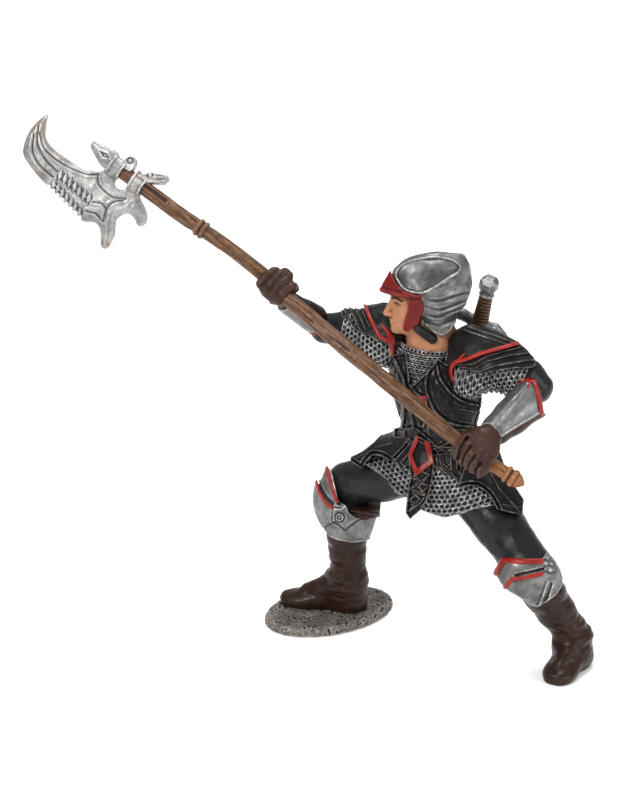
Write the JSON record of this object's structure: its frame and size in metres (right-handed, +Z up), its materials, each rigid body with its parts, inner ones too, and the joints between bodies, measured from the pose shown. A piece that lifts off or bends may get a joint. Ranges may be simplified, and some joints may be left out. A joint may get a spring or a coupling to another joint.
{
  "type": "painted miniature figure",
  "caption": "Tabletop figure of an armoured warrior in a wide lunge on an oval base, both fists round a long halberd and a sheathed sword on the back.",
  "frame": {"origin": "middle of the flat underside of the oval base", "axes": "+Z up from the surface it stands on; the figure is displayed from -Y; +X runs along the lunge, from the halberd's blade towards the rear foot"},
  "size_m": [0.116, 0.0472, 0.1041],
  "materials": {
    "stone_base": "moulded PVC painted as grey-brown gritty stone",
    "boot_brown": "dark reddish-brown paint, satin",
    "glove_brown": "dark brown paint, satin",
    "cloth_blue": "very dark blue-grey paint, matt",
    "silver_paint": "silver metallic paint with a dark wash",
    "mail_paint": "black undercoat with silver dry-brushed rings",
    "armour_black": "black paint, brown and silver dry-brushed edges",
    "red_paint": "deep red paint, satin",
    "skin_paint": "tan flesh paint, matt",
    "shaft_brown": "mid-brown paint with dark grain streaks"
  },
  "bodies": {
    "root": {"backplate": "armour_black", "base": "stone_base", "belt": "armour_black", "belt_lappets": "armour_black", "breast_emblem": "red_paint", "breastplate": "armour_black", "chin_strap": "armour_black", "front_tasset": "armour_black", "front_tasset_trim": "red_paint", "halberd_blade": "silver_paint", "halberd_butt_cap": "shaft_brown", "halberd_collar": "shaft_brown", "halberd_langet": "shaft_brown", "halberd_lugs": "silver_paint", "halberd_shaft": "shaft_brown", "halberd_spike": "silver_paint", "head": "skin_paint", "helmet": "silver_paint", "hips": "cloth_blue", "left_boot": "boot_brown", "left_glove": "glove_brown", "left_hip_plate": "armour_black", "left_knee_guard": "silver_paint", "left_knee_trim": "red_paint", "left_mail_sleeve": "mail_paint", "left_pauldron": "armour_black", "left_pauldron_trim": "red_paint", "left_sleeve": "cloth_blue", "left_trouser_leg": "cloth_blue", "left_vambrace": "silver_paint", "left_vambrace_trim": "red_paint", "mail_shirt": "mail_paint", "mail_skirt": "mail_paint", "right_boot": "boot_brown", "right_glove": "glove_brown", "right_hip_plate": "armour_black", "right_knee_guard": "silver_paint", "right_knee_trim": "red_paint", "right_mail_sleeve": "mail_paint", "right_pauldron": "armour_black", "right_pauldron_trim": "red_paint", "right_sleeve": "cloth_blue", "right_trouser_leg": "cloth_blue", "right_vambrace": "silver_paint", "right_vambrace_trim": "red_paint", "scabbard": "boot_brown", "sword_crossguard": "silver_paint", "sword_grip": "shaft_brown", "sword_pommel": "silver_paint", "visor": "red_paint"}
  },
  "joints": []
}
